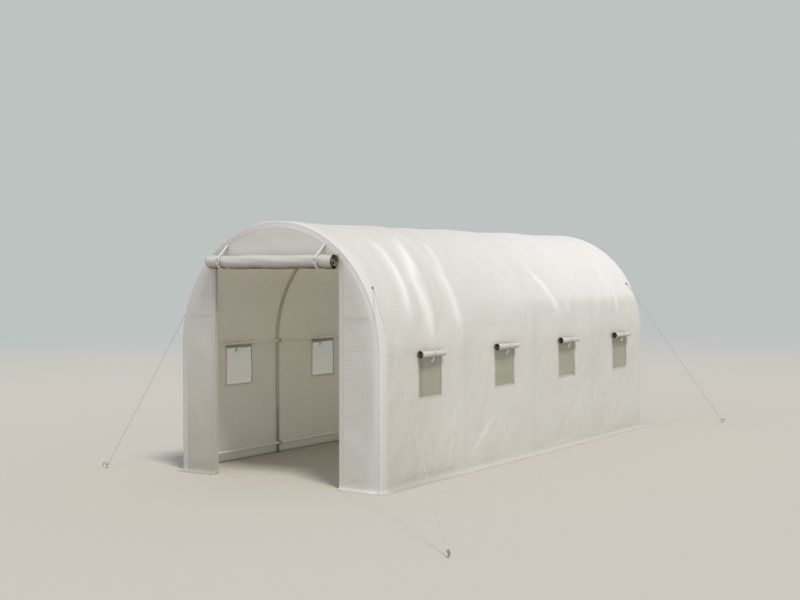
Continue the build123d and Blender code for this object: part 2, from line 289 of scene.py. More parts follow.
hoop_nodes = ("front_hoop", "hoop_2", "hoop_3", "hoop_4", "rear_hoop")
low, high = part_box("front_hoop")
hoop_radius = (high.y - low.y) / 2
hoop_line = high.x - hoop_radius
wall_height = high.z - hoop_radius - hoop_line
hoop_y = [node_middle(n).y for n in hoop_nodes]
bend = np.linspace(0, math.pi, 97)
for node, y in zip(hoop_nodes, hoop_y):
    path = [(hoop_line, y, 0), (hoop_line, y, wall_height / 2)]
    path += [(hoop_line * math.cos(a), y, wall_height + hoop_line * math.sin(a)) for a in bend]
    path += [(-hoop_line, y, wall_height / 2), (-hoop_line, y, 0)]
    add_piece(f"{node}_tube", *tube_along(path, hoop_radius), galvanised, "tube", [node])

long_rails = ("ridge_rail", "eaves_rail_right", "eaves_rail_left", "base_rail_right", "base_rail_left")
cross_tubes = ("door_header", "rear_base_rail", "rear_cross_rail")
for node in long_rails + cross_tubes:
    low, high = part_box(node)
    half = (high - low) / 2
    reach = Vector((0, half.y, 0)) if node in long_rails else Vector((half.x, 0, 0))
    ends = [node_middle(node) - reach, node_middle(node) + reach]
    # The long rails take the lighter finish, a painted highlight.
    finish = rail_finish_lit if node in long_rails else galvanised
    add_piece(f"{node}_tube", *tube_along(ends, half.z), finish, "tube", [node])

for node in ("door_posts", "front_ties"):
    dress(node, dull_zinc)


# Cover: one long sheet of translucent reinforced film over the hoops, from the skirt on one side
# to the skirt on the other. It is drawn round the end hoops to a hem on the end walls, sags a
# little between hoops, and its windows are cut out.
def film_finish(name, field, thread, thread_share, see_through, soil="#8E8468"):
    """Film with a grid of threads, drawn from the sheet's own map in metres and its painted marks: two
    layers and painted highlights whiter, dirt and painted shade darker.
    """
    finish, tree = new_finish(name)
    flat = add_node(tree, "ShaderNodeUVMap", {"uv_map": "UVMap"})
    parts = add_node(tree, "ShaderNodeSeparateXYZ", (), {0: flat}).outputs
    lines = []
    for axis, share in ((0, 0.75), (1, 1.0)):
        away = add_node(tree, "ShaderNodeMath", {"operation": "PINGPONG"},
                        {0: parts[axis], 1: thread_pitch / 2})
        lines.append(add_node(tree, "ShaderNodeMapRange", {"interpolation_type": "SMOOTHSTEP"}, {
            "Value": away, "From Max": thread_width, "To Min": share, "To Max": 0.0}))
    grid = add_node(tree, "ShaderNodeMath", {"operation": "MAXIMUM"}, {0: lines[0], 1: lines[1]})
    cloud = add_node(tree, "ShaderNodeTexNoise", (), {"Vector": flat, "Scale": 2.2, "Detail": 5.0})
    cloud = add_node(tree, "ShaderNodeMapRange", (), {
        "Value": cloud, "From Min": 0.3, "From Max": 0.75, "To Min": 0.0, "To Max": 0.35})
    doubled, smooth, soiled = [add_node(tree, "ShaderNodeAttribute", {"attribute_name": mark}).outputs["Fac"]
                               for mark in ("doubled", "smooth", "soiled")]
    share = add_node(tree, "ShaderNodeMapRange", (),
                     {"Value": smooth, "To Min": thread_share, "To Max": 0.0})
    woven = add_node(tree, "ShaderNodeMath", {"operation": "MULTIPLY"}, {0: grid, 1: share})
    tone = toned(tree, field, (cloud, film_clouded), (doubled, film_whiter_and_highlit), (woven, thread),
                 (soiled, soil))
    bump = add_node(tree, "ShaderNodeBump", (), {"Strength": 0.25, "Distance": 0.0006, "Height": grid})
    sheen = add_node(tree, "ShaderNodeBsdfPrincipled", (), {
        "Base Color": tone, "Roughness": 0.48, "Specular IOR Level": 0.35, "Normal": bump})
    warm = add_node(tree, "ShaderNodeMix", {"data_type": "RGBA", "blend_type": "MULTIPLY"},
                    {0: 1.0, 6: tone, 7: colour(film_glow)}).outputs[2]
    through = add_node(tree, "ShaderNodeBsdfTranslucent", (), {"Color": warm})
    passed = add_node(tree, "ShaderNodeMapRange", (),
                      {"Value": doubled, "To Min": see_through, "To Max": 0.4 * see_through})
    both = add_node(tree, "ShaderNodeMixShader", (), {0: passed, 1: sheen, 2: through})
    add_node(tree, "ShaderNodeOutputMaterial", (), {"Surface": both})
    return finish


def cut_grid(breaks, step):
    """Values through all the breaks, with about a step between them."""
    breaks = sorted(set(round(float(b), 6) for b in breaks))
    values = [breaks[0]]
    for a, b in zip(breaks, breaks[1:]):
        values += list(np.linspace(a, b, max(1, math.ceil((b - a) / step)) + 1)[1:])
    return np.array(values)


def sheet_of(grid, keep=None):
    """Faces over a grid of points that is rows by columns, with those kept that keep marks."""
    rows, columns = grid.shape[:2]
    index = np.arange(rows * columns).reshape(rows, columns)
    faces = np.stack([index[:-1, :-1], index[:-1, 1:], index[1:, 1:], index[1:, :-1]], -1).reshape(-1, 4)
    return faces if keep is None else faces[keep.reshape(-1)]


def add_sheet(name, points, faces, flat_map, marks, finish, replaced=()):
    """A film sheet without its unused points, with its flat map in metres and its painted marks."""
    used, faces = np.unique(faces, return_inverse=True)
    faces = faces.reshape(-1, 4)
    points, flat_map = points.reshape(-1, 3)[used], flat_map.reshape(-1, 2)[used]
    piece = add_piece(name, points, faces.tolist(), finish, "film", replaced)
    layer = piece.data.uv_layers.new(name="UVMap")
    layer.data.foreach_set("uv", flat_map[faces.reshape(-1)].astype(np.float32).reshape(-1))
    for mark, values in marks.items():
        attribute = piece.data.attributes.new(mark, "FLOAT", "POINT")
        attribute.data.foreach_set("value", values.reshape(-1)[used].astype(np.float32))
    return piece


def ripples(u, v, seed, size, waves=14, shortest=0.22, longest=0.9):
    """Soft uneven waves over a flat map, about a size high."""
    pick = random.Random(seed)
    height = np.zeros_like(u)
    for _ in range(waves):
        wave = pick.uniform(shortest, longest)
        turn = pick.uniform(0, math.pi)
        phase = pick.uniform(0, 2 * math.pi)
        along = u * math.cos(turn) + v * math.sin(turn)
        height += wave * np.sin(2 * math.pi * along / wave + phase)
    return size * height / (longest * math.sqrt(waves) / 2)


def crease(u, v, start, end, width):
    """How near each place on a flat map is to a crease from start to end, from 0 to 1."""
    start, end = np.array(start, float), np.array(end, float)
    run = end - start
    length = np.linalg.norm(run)
    run /= length
    along = (u - start[0]) * run[0] + (v - start[1]) * run[1]
    off = -(u - start[0]) * run[1] + (v - start[1]) * run[0]
    fade = np.clip(np.minimum(along, length - along) / (0.3 * length), 0, 1)
    return fade * fade * (3 - 2 * fade) * np.exp(-(off / width) ** 2)


# Woven polyethylene tape laminated between films: milky, with a grid of thicker threads. The
# threads are drawn 18 mm apart, wider than real ones, so that they show.
thread_pitch = 0.018
thread_width = 0.0030
film_clouded = "#E6E4DB"
# The whiter tone of two layers of film, also used for painted highlights.
film_whiter_and_highlit = "#FBFAF7"
film_glow = "#FFF7EA"
film = film_finish("translucent reinforced film", "#E9E8E3", "#BCB9AF", 0.50, 0.27)

half_width = 1.0
half_length = 2.25
wrap = 0.0148
end_hoop = half_length - wrap
sag = 0.010
cover_band = 0.042
band_lift = 0.0004
skirt_top = 0.060
skirt_reach = 0.0675
skirt_line = [(0.0655, 0.0012), (0.056, 0.0015), (0.046, 0.0018), (0.036, 0.0022), (0.026, 0.0029),
              (0.017, 0.0042), (0.010, 0.0068), (0.0055, 0.0110), (0.0028, 0.0170), (0.0013, 0.0250),
              (0.0005, 0.0350), (0.0001, 0.0470)]
bay_length = 1.1176
window_y = [node_middle("window_flaps_right").y + (bay - 1.5) * bay_length for bay in range(4)]
window_half = 0.150
window_top = 0.985
window_sill = 0.655
span_step = 0.0185
wall_step = 0.021

# The plan of a level of the cover: the hem on the front wall, the turn round the front hoop, the
# run along the tunnel, and the same at the rear. The rows go up one side, over and down the other.
span_y = cut_grid(hoop_y + [y + s * window_half for y in window_y for s in (-1, 1)], span_step)
bay_place = np.interp(span_y, hoop_y, range(5)) % 1.0
turn = np.linspace(-math.pi / 2, 0, 9)[:-1]
band = np.linspace(cover_band, 0, 6)[:-1]
front_x = np.concatenate([hoop_line - band, hoop_line + wrap * np.cos(turn)])
front_y = np.concatenate([0 * band - half_length - band_lift, -end_hoop + wrap * np.sin(turn)])
plan_x = np.concatenate([front_x, half_width - 4 * sag * bay_place * (1 - bay_place), front_x[::-1]])
plan_y = np.concatenate([front_y, span_y, -front_y[::-1]])
out_x = np.concatenate([0 * band, np.cos(turn), 1 + 0 * span_y, np.cos(turn)[::-1], 0 * band])
out_y = np.concatenate([0 * band - 1, np.sin(turn), 0 * span_y, -np.sin(turn)[::-1], 0 * band + 1])
plan_u = np.concatenate([[0], np.cumsum(np.hypot(np.diff(plan_x), np.diff(plan_y)))])
plan_u -= plan_u[-1] / 2

wall_z = cut_grid([skirt_top, window_sill, window_top, wall_height], wall_step)
arch = np.linspace(0, math.pi, 151)[1:-1]
side_rows = [(flare, z, None) for flare, z in skirt_line] + [(0.0, z, None) for z in wall_z]
rows = [(1,) + row for row in side_rows] + [(0, 0.0, 0.0, angle) for angle in arch]
rows += [(-1,) + row for row in side_rows[::-1]]
points = np.zeros((len(rows), len(plan_x), 3))
outward = np.zeros_like(points)
for i, (side, flare, z, angle) in enumerate(rows):
    if angle is None:
        spread = flare * (1 + 0.10 * np.sin(plan_u * 9 + side) + 0.07 * np.sin(plan_u * 23 + 2 * side))
        spread = np.minimum(spread, skirt_reach)
        sagged = (half_width - np.minimum(plan_x, half_width)) * (np.abs(plan_y) < end_hoop)
        x = plan_x + spread * out_x + sagged * min(1, flare / 0.05)
        points[i] = np.stack([side * x, plan_y + spread * out_y, z + 0 * x], 1)
        outward[i] = np.stack([side * out_x, out_y, 0 * x], 1)
    else:
        points[i] = np.stack([plan_x * math.cos(angle), plan_y, wall_height + plan_x * math.sin(angle)], 1)
        outward[i] = np.stack([out_x * math.cos(angle), out_y, out_x * math.sin(angle)], 1)
middle_column = points[:, len(plan_x) // 2]
row_v = np.concatenate([[0], np.cumsum(np.linalg.norm(np.diff(middle_column, axis=0), axis=1))])
row_v -= row_v[-1] / 2
side_v = -row_v[len(skirt_line)]
u, v = np.meshgrid(plan_u, row_v)

# Folds: drawn tight over the hoops, slack between them. Each is a start and an end, as metres
# along and degrees up the arch from the right eaves, then its width and its depth, or its share
# of painted highlight for those along the folds. The four on the right wall and the small uneven
# ones are in metres on the flat map.
off_hoop = np.abs(plan_y[:, None] - np.array(hoop_y)[None, :]).min(axis=1)
loose = (1 - np.exp(-(off_hoop / 0.07) ** 2)) * (np.abs(plan_y) < end_hoop)
height = ripples(u, v, 3, 0.0022) + ripples(u, v, 5, 0.0008, shortest=0.07, longest=0.2)
arch_v = math.pi / 2 * 0.995
folds = [(-1.79, 16, -1.70, 68, 0.034, -0.0110), (-1.90, 14, -1.80, 60, 0.030, 0.0060),
         (-1.545, -2, -1.40, 72, 0.045, -0.0130), (-1.66, 4, -1.54, 66, 0.032, 0.0080),
         (-1.30, 14, -1.22, 74, 0.045, 0.0080), (0.58, 14, 0.28, 44, 0.040, -0.0110),
         (0.42, 16, 0.18, 50, 0.040, 0.0070), (1.85, 14, 1.75, 50, 0.030, -0.0100),
         (1.68, 18, 1.58, 54, 0.034, 0.0060), (-0.50, 20, -0.38, 60, 0.045, -0.0060)]
fold_highlights = [(-1.84, 8, -1.67, 66, 0.040, 0.7), (-1.53, 0, -1.61, 44, 0.050, 0.6),
             (-1.64, 26, -1.30, 68, 0.050, 0.65), (-1.17, 6, -1.17, 44, 0.050, 0.55),
             (-1.20, 30, -0.98, 62, 0.045, 0.45), (0.60, 10, 0.26, 42, 0.050, 0.7),
             (0.78, 12, 0.56, 36, 0.040, 0.4), (1.77, 10, 1.82, 42, 0.030, 0.6),
             (-0.55, -30, -1.10, -54, 0.020, 0.4)]
creases = [(y0, math.radians(a0) - arch_v, y1, math.radians(a1) - arch_v, width, size)
           for y0, a0, y1, a1, width, size in folds]
creases += [(-1.83, -1.92, -1.72, -2.62, 0.028, 0.0075), (-1.95, -1.75, -1.80, -2.60, 0.024, -0.0060),
            (-1.18, -2.62, -1.02, -1.95, 0.028, 0.0075), (-1.34, -2.60, -1.22, -1.98, 0.024, -0.0060)]
pick = random.Random(11)
for bay in range(4):
    centre = (hoop_y[bay] + hoop_y[bay + 1]) / 2
    for _ in range(9):
        at = centre + pick.uniform(-0.42, 0.42)
        start = pick.uniform(-1.75, 1.2)
        creases.append((at, start, at + pick.uniform(-0.08, 0.08), start + pick.uniform(0.35, 0.9),
                        pick.uniform(0.010, 0.022), pick.choice((-1, 1)) * pick.uniform(0.0012, 0.0028)))
for u0, v0, u1, v1, width, size in creases:
    height -= size * crease(u, v, (u0, v0), (u1, v1), width)
height *= loose[None, :] * (np.abs(v) < side_v + 0.001)
eaves_v = arch_v - math.radians(9)
eaves_dip = 0.0065
height -= eaves_dip * loose[None, :] * np.exp(-((np.abs(v) - eaves_v) / 0.13) ** 2)
points += outward * height[..., None]

# Marks: two layers of film are whiter, and so are painted highlights: round the front corner and
# on the front hem on the sun side, on the crown towards the rear, and along folds. The film is
# darker towards the bottom, has uneven dusty clouds, and takes painted shade along the ground line
# and over the near bay. The crown and the far bays show their threads less.
x, y, z = points[..., 0], points[..., 1], points[..., 2]
from_corner = np.abs(plan_u - np.interp(-end_hoop, plan_y, plan_u))
lit_side = np.clip(x * 1.5 + 0.75, 0, 1)
over_eaves = 1 - 0.6 * np.clip((z - 1.0) / 0.3, 0, 1)
# Painted highlight round the front corner and on the cover's hem over the front wall, on the sun side only;
# the hem is two layers of film.
doubled = 0.55 * np.exp(-(from_corner / 0.075) ** 4)[None, :] * over_eaves
doubled = np.where((np.abs(plan_y) > half_length)[None, :], 0.9, doubled) * lit_side
above = np.clip((arch_v - math.radians(17) - np.abs(v)) / math.radians(6), 0, 1)
above *= above * (3 - 2 * above)
# Painted highlight on the crown, stronger towards the rear.
doubled = np.maximum(doubled, 0.45 * above * np.clip(y / 2 + 0.4, 0, 1))
# Painted highlights along the folds.
for y0, a0, y1, a1, width, share in fold_highlights:
    start, end = (y0, math.radians(a0) - arch_v), (y1, math.radians(a1) - arch_v)
    doubled = np.maximum(doubled, share * crease(u, v, start, end, width))
# Darker towards the bottom; uneven dusty clouds; painted shade along the ground line, and over the near bay
# of the right wall and the near roof.
soiled = 0.13 * np.clip(1 - z / 0.45, 0, 1) ** 2
soiled += 0.04 * np.clip(ripples(u, v, 8, 0.5), 0, 1) * (z < 1.2)
soiled += 0.10 * np.exp(-((z - 0.012) / 0.016) ** 2)
soiled += 0.14 * np.clip((-1.1 - y) / 0.7, 0, 1) * (x > 0) * np.clip(1.3 - z, 0, 1)
soiled += 0.05 * above * np.clip((-0.8 - y) / 0.6, 0, 1)
faded = np.maximum(0.7 * above, 0.5 * np.clip((y + 2.0) / 0.8, 0, 1))

cell_y = (plan_y[1:] + plan_y[:-1]) / 2
cell_z = (points[1:, 0, 2] + points[:-1, 0, 2]) / 2
in_window_y = np.any([np.abs(cell_y - y_mid) < window_half for y_mid in window_y], axis=0)
in_window_y &= np.abs(cell_y) < end_hoop
in_window_z = (cell_z > window_sill) & (cell_z < window_top)
keep = ~(in_window_z[:, None] & in_window_y[None, :])
on_walls = slice(len(skirt_line), len(skirt_line) + len(wall_z))
on_span = slice(len(front_x), len(front_x) + len(span_y))
side_reach = {1: points[on_walls, on_span, 0], -1: -points[::-1][on_walls, on_span, 0]}
cover = add_sheet("film_cover", points, sheet_of(points, keep), np.stack([u, v], -1),
                  {"soiled": soiled, "doubled": doubled, "smooth": faded}, film,
                  ["roof_front_bay", "roof_bay_2", "roof_bay_3", "roof_rear_bay", "wall_right", "wall_left",
                   "skirt_right", "skirt_left"])


# End walls: at the front two panels and a gable in one sheet, cut out for the door, and a whole
# sheet at the rear. Each is sewn under the cover's hem and has the same skirt on the ground.
door_half = 0.620
door_height = 1.6901
end_step = 0.019
end_gap = 0.0001
tie_level = 1.26
skirt_allowance = 0.09


def end_wall(name, end, doorway, replaced):
    """An end wall with its skirt, at the front (end -1) or the rear (end 1)."""
    x_line = cut_grid([-hoop_line, -door_half, 0, door_half, hoop_line], end_step)
    z_line = cut_grid([skirt_top, wall_height, door_height, wall_height + hoop_line], end_step)
    flare, level = np.array(skirt_line + [(0.0, z) for z in z_line]).T
    spread = flare[:, None] * (1 + 0.10 * np.sin(x_line * 11 + end) + 0.06 * np.sin(x_line * 29))
    points = np.zeros((len(level), len(x_line), 3))
    points[..., 0] = x_line
    points[..., 1] = end * (half_length - end_gap + np.minimum(spread, skirt_reach))
    points[..., 2] = level[:, None]
    if doorway:
        past_edge = np.abs(x_line) - door_half
        pushed = np.clip(0.5 * flare[:, None] - past_edge, 0, None)
        points[..., 0] += np.sign(x_line) * pushed * (past_edge > -1e-6) * (flare > 0)[:, None]
    x, z = points[..., 0], points[..., 2]
    over = np.hypot(x, np.clip(z - wall_height, 0, None))
    outline = hoop_line - 0.0005
    shrink = np.where((z > wall_height) & (over > outline), outline / np.maximum(over, 1e-6), 1.0)
    points[..., 0] = x * shrink
    points[..., 2] = np.where(z > wall_height, wall_height + (z - wall_height) * shrink, z)
    v = np.concatenate([[0], np.cumsum(np.hypot(np.diff(flare), np.diff(level)))])
    v += z_line[-1] - v[-1]
    u, v = np.meshgrid(x_line, v)

    from_hoop = hoop_line - np.hypot(x, np.clip(z - wall_height, 0, None))
    inset = np.minimum(from_hoop, 0.3)
    if doorway:
        beside = np.where(z < door_height, np.abs(np.abs(x) - door_half),
                          np.hypot(np.clip(np.abs(x) - door_half, 0, None), z - door_height))
        inset = np.minimum(inset, beside)
    loose = 1 - np.exp(-(np.clip(inset - 0.02, 0, None) / 0.09) ** 2)
    bulge = ripples(u, v, 21 + end, 0.0022) + ripples(u, v, 31 + end, 0.0010, shortest=0.08, longest=0.25)
    bulge -= 0.004 * crease(u, v, (-0.93, 0.98), (-0.66, 1.30), 0.02)
    bulge -= 0.003 * crease(u, v, (0.64, 1.10), (0.95, 1.30), 0.02)
    points[..., 1] += end * bulge * loose * (z > skirt_top)

    cell_x = np.abs(x_line[1:] + x_line[:-1])[None, :] / 2
    cell_z = (level[1:] + level[:-1])[:, None] / 2
    keep = np.hypot(cell_x, np.clip(cell_z - wall_height, 0, None)) < hoop_line + 0.004
    if doorway:
        keep &= ~((cell_x < door_half) & (cell_z < door_height))
    # Darker towards the bottom with uneven dusty clouds; a painted shadow of the tie behind the film beside
    # the doorway; painted shade over the lower left panel.
    soiled = 0.05 * np.clip(1 - z / 0.5, 0, 1) ** 2 + 0.07 * np.clip(ripples(u, v, 41, 0.5), 0, 1)
    soiled += 0.10 * np.exp(-((z - tie_level) / 0.016) ** 4) * (np.abs(x) > door_half + 0.03)
    soiled += doorway * np.clip((-x - 0.5) * 8, 0, 1) * np.clip(0.40 - 0.28 * z, 0, 0.4)
    # Painted highlight by the hoop on the sun side, which also lightens the hoop's shade through the film.
    # Painted light above the door roll, against the shade that the roll casts on the gable; the hem over the
    # doorway is two layers.
    lit_part = np.clip(x * 1.5 + 0.75, 0, 1)
    hem_highlight = 0.6 * np.exp(-((np.clip(from_hoop, 0, None) + 0.012) / 0.085) ** 2) * lit_part
    lit_over_roll = 0.5 * doorway * np.exp(-(np.clip(z - door_height - 0.06, 0, None) / 0.13) ** 2)
    lit_over_roll *= (np.abs(x) < 0.64) * (z > door_height - 0.001)
    marks = {"soiled": soiled, "doubled": np.maximum(hem_highlight, lit_over_roll)}
    piece = add_sheet(name, points, sheet_of(points, keep), np.stack([u, v], -1), marks, film, replaced)
    area = 2 * hoop_line * (wall_height + skirt_allowance) + math.pi * hoop_line ** 2 / 2
    area -= 2 * door_half * (door_height + skirt_allowance) if doorway else 0


end_wall("front_wall_film", -1, True, ["front_panel_right", "front_panel_left", "front_gable",
                                       "front_skirt_right", "front_skirt_left"])
end_wall("rear_wall_film", 1, False, ["rear_wall", "rear_skirt"])


# Seams: the hem of the cover is sewn down on the end walls in one row of white thread. Lock
# stitches are drawn 12 mm long, longer than real ones, so that they show.
def wall_reach(side, y, z):
    """How far the cover is from the middle plane at places on a side wall."""
    y, z = np.broadcast_arrays(np.asarray(y, float), np.asarray(z, float))
    surface = side_reach[side]
    i = np.clip(np.searchsorted(wall_z, z) - 1, 0, len(wall_z) - 2)
    j = np.clip(np.searchsorted(span_y, y) - 1, 0, len(span_y) - 2)
    s = np.clip((z - wall_z[i]) / (wall_z[i + 1] - wall_z[i]), 0, 1)
    t = np.clip((y - span_y[j]) / (span_y[j + 1] - span_y[j]), 0, 1)
    low = surface[i, j] * (1 - t) + surface[i, j + 1] * t
    high = surface[i + 1, j] * (1 - t) + surface[i + 1, j + 1] * t
    return low * (1 - s) + high * s


def new_tree(name, inputs):
    """A Geometry Nodes tree with named inputs, and its input node's sockets."""
    tree = bpy.data.node_groups.new(name, "GeometryNodeTree")
    tree.interface.new_socket("Geometry", in_out="OUTPUT", socket_type="NodeSocketGeometry")
    tree.interface.new_socket("Geometry", in_out="INPUT", socket_type="NodeSocketGeometry")
    for label, kind in inputs:
        tree.interface.new_socket(label, in_out="INPUT", socket_type=kind)
    return tree, add_node(tree, "NodeGroupInput").outputs


def grown(name, tree, lines, finish, values, replaced=()):
    """A piece that a tree grows on open lines, each a path and the direction that it faces."""
    points, edges, outward = [], [], []
    for path, away in lines:
        edges += [(len(points) + i, len(points) + i + 1) for i in range(len(path) - 1)]
        points += [tuple(p) for p in path]
        outward += list(away) * len(path)
    line = bpy.data.meshes.new(name + "_line")
    line.from_pydata(points, edges, [])
    attribute = line.attributes.new("outward", "FLOAT_VECTOR", "POINT")
    attribute.data.foreach_set("vector", np.array(outward, np.float32))
    carrier = add_object(name + "_line", line)
    modifier = carrier.modifiers.new("grow", "NODES")
    modifier.node_group = tree
    sockets = {s.name: s.identifier for s in tree.interface.items_tree if s.in_out == "INPUT"}
    for label, value in dict(values, Finish=finish).items():
        modifier[sockets[label]] = value
    seen_now = carrier.evaluated_get(bpy.context.evaluated_depsgraph_get())
    mesh = bpy.data.meshes.new_from_object(seen_now)
    bpy.data.objects.remove(carrier)
    mesh.name = name
    return take_place(add_object(name, mesh), replaced)


row_of_bits, bits = new_tree("bits along a seam", [
    ("Spacing", "NodeSocketFloat"), ("Length", "NodeSocketFloat"), ("Width", "NodeSocketFloat"),
    ("Thickness", "NodeSocketFloat"), ("Sides", "NodeSocketInt"), ("Finish", "NodeSocketMaterial")])
seam = add_node(row_of_bits, "GeometryNodeMeshToCurve", (), {"Mesh": bits["Geometry"]})
spots = add_node(row_of_bits, "GeometryNodeCurveToPoints", {"mode": "LENGTH"},
                 {"Curve": seam, "Length": bits["Spacing"]}).outputs
away = add_node(row_of_bits, "GeometryNodeInputNamedAttribute", {"data_type": "FLOAT_VECTOR"},
                {"Name": "outward"})
turned = add_node(row_of_bits, "FunctionNodeAlignRotationToVector", {"axis": "X"},
                  {"Vector": spots["Tangent"]})
turned = add_node(row_of_bits, "FunctionNodeAlignRotationToVector", {"axis": "Z", "pivot_axis": "X"},
                  {"Rotation": turned, "Vector": away})
bar = add_node(row_of_bits, "GeometryNodeMeshCylinder", {"fill_type": "NGON"},
               {"Vertices": bits["Sides"], "Radius": 0.5, "Depth": 1.0}).outputs["Mesh"]
bar = add_node(row_of_bits, "GeometryNodeTransform", (),
               {"Geometry": bar, "Rotation": (0.0, math.pi / 2, 0.0)})
size = add_node(row_of_bits, "ShaderNodeCombineXYZ", (),
                {"X": bits["Length"], "Y": bits["Width"], "Z": bits["Thickness"]})
laid = add_node(row_of_bits, "GeometryNodeInstanceOnPoints", (),
                {"Points": spots["Points"], "Instance": bar, "Rotation": turned, "Scale": size})
laid = add_node(row_of_bits, "GeometryNodeRealizeInstances", (), {"Geometry": laid})
laid = add_node(row_of_bits, "GeometryNodeSetMaterial", (),
                {"Geometry": laid, "Material": bits["Finish"]})
add_node(row_of_bits, "NodeGroupOutput", (), {"Geometry": laid})

# Spun polyester thread is matt, with a little fuzz at its edge.
thread = plain_finish("polyester sewing thread", "#D8D5CA", Roughness=0.55, Sheen_Weight=0.2)
stitch = {"Spacing": 0.016, "Length": 0.012, "Width": 0.0016, "Thickness": 0.0010, "Sides": 5}
seam_inset = 0.006
seam_lift = 0.0010
hem_line = hoop_line - cover_band + seam_inset
seams = []
for end in (-1, 1):
    place = end * (half_length + seam_lift)
    path = [(hem_line, place, z) for z in (skirt_top, wall_height / 2, wall_height)]
    path += [(hem_line * math.cos(a), place, wall_height + hem_line * math.sin(a))
             for a in np.linspace(0, math.pi, 60)[1:-1]]
    path += [(-hem_line, place, z) for z in (wall_height, wall_height / 2, skirt_top)]
    seams.append((path, (0, end, 0)))


# Window hems: each opening is bound with a flat tape of the same film, sewn on in two rows.
def hem_frame(side, y_mid):
    """The tape round one opening, on the cover: its grid of points, faces and flat map."""
    y_line = cut_grid([s * r for s in (-1, 1) for r in (window_half, window_half + hem_width)], 0.02)
    z_line = cut_grid([window_sill - hem_width, window_sill, window_top, window_top + hem_width], 0.03)
    y, z = np.meshgrid(y_line, z_line)
    grid = np.stack([side * (wall_reach(side, y_mid + y, z) + hem_lift), y_mid + y, z], -1)
    cell_y = np.abs(y_line[1:] + y_line[:-1]) / 2
    cell_z = (z_line[1:] + z_line[:-1]) / 2
    keep = ~((cell_y < window_half)[None, :] & ((cell_z > window_sill) & (cell_z < window_top))[:, None])
    return grid, sheet_of(grid, keep)[:, ::side], np.stack([y, z], -1)


def sheets_joined(sheets):
    """Several (grid, faces, flat map, dirt and painted shade) as one sheet's points, faces, flat map and
    marks.
    """
    faces, count = [], 0
    for grid, some_faces, _, _ in sheets:
        faces.append(some_faces + count)
        count += grid.size // 3
    points = np.concatenate([grid.reshape(-1, 3) for grid, _, _, _ in sheets])
    flats = np.concatenate([flat.reshape(-1, 2) for _, _, flat, _ in sheets])
    soiled = np.concatenate([soiled.reshape(-1) for _, _, _, soiled in sheets])
    return points, np.concatenate(faces), flats, {"soiled": soiled, "doubled": 0 * soiled}


both_sides = ((1, "right"), (-1, "left"))
hem_lift = 0.0009
hem_width = 0.018
row_inset = 0.003
row_lift = 0.0004
hem = film_finish("film hem tape, two layers", "#E9E8E3", "#D2D0C8", 0.4, 0.50)
for side, word in both_sides:
    sheets = []
    for y in window_y:
        grid, faces, flat = hem_frame(side, y)
        sheets.append((grid, faces, flat, np.zeros(grid.shape[:2])))
        for inset in (row_inset, hem_width - row_inset):
            reach_y, low, high = window_half + inset, window_sill - inset, window_top + inset
            ring = [(-reach_y, low), (reach_y, low), (reach_y, high), (-reach_y, high), (-reach_y, low)]
            for (y0, z0), (y1, z1) in zip(ring, ring[1:]):
                line_y, line_z = y + np.linspace(y0, y1, 12), np.linspace(z0, z1, 12)
                reach = wall_reach(side, line_y, line_z) + hem_lift + row_lift
                seams.append((np.stack([side * reach, line_y, line_z], 1), (side, 0, 0)))
    piece = add_sheet(f"window_hems_{word}", *sheets_joined(sheets), hem)

grown("seam_stitches", row_of_bits, seams, thread, stitch)


# Window nets: an open insect net of olive-grey yarn behind each opening. The yarns are drawn
# 1.0 mm thick and 3.5 mm apart, coarser than real ones, so that they show.
net_tree, net = new_tree("woven net under a line", [
    ("Drop", "NodeSocketFloat"), ("Pitch", "NodeSocketFloat"), ("Yarn", "NodeSocketFloat"),
    ("Rows", "NodeSocketInt"), ("Finish", "NodeSocketMaterial")])
top_edge = add_node(net_tree, "GeometryNodeMeshToCurve", (), {"Mesh": net["Geometry"]})
down = (0.0, 0.0, -1.0)
step = add_node(net_tree, "ShaderNodeVectorMath", {"operation": "SCALE"}, {0: down, "Scale": net["Pitch"]})
drop = add_node(net_tree, "ShaderNodeVectorMath", {"operation": "SCALE"}, {0: down, "Scale": net["Drop"]})
levels = add_node(net_tree, "GeometryNodeMeshLine", (), {"Count": net["Rows"], "Offset": step})
spots = add_node(net_tree, "GeometryNodeCurveToPoints", {"mode": "LENGTH"},
                 {"Curve": top_edge, "Length": net["Pitch"]}).outputs["Points"]
hung = add_node(net_tree, "GeometryNodeCurvePrimitiveLine", (), {"Start": (0.0, 0.0, 0.0), "End": drop})
both = add_node(net_tree, "GeometryNodeJoinGeometry")
for places, yarn in ((levels, top_edge), (spots, hung)):
    laid = add_node(net_tree, "GeometryNodeInstanceOnPoints", (), {"Points": places, "Instance": yarn})
    laid = add_node(net_tree, "GeometryNodeRealizeInstances", (), {"Geometry": laid})
    net_tree.links.new(laid.outputs[0], both.inputs[0])
half_yarn = add_node(net_tree, "ShaderNodeMath", {"operation": "MULTIPLY"}, {0: net["Yarn"], 1: 0.5})
round_yarn = add_node(net_tree, "GeometryNodeCurvePrimitiveCircle", (),
                      {"Resolution": 3, "Radius": half_yarn})
woven = add_node(net_tree, "GeometryNodeCurveToMesh", (), {"Curve": both, "Profile Curve": round_yarn})
woven = add_node(net_tree, "GeometryNodeSetMaterial", (), {"Geometry": woven, "Material": net["Finish"]})
add_node(net_tree, "NodeGroupOutput", (), {"Geometry": woven})

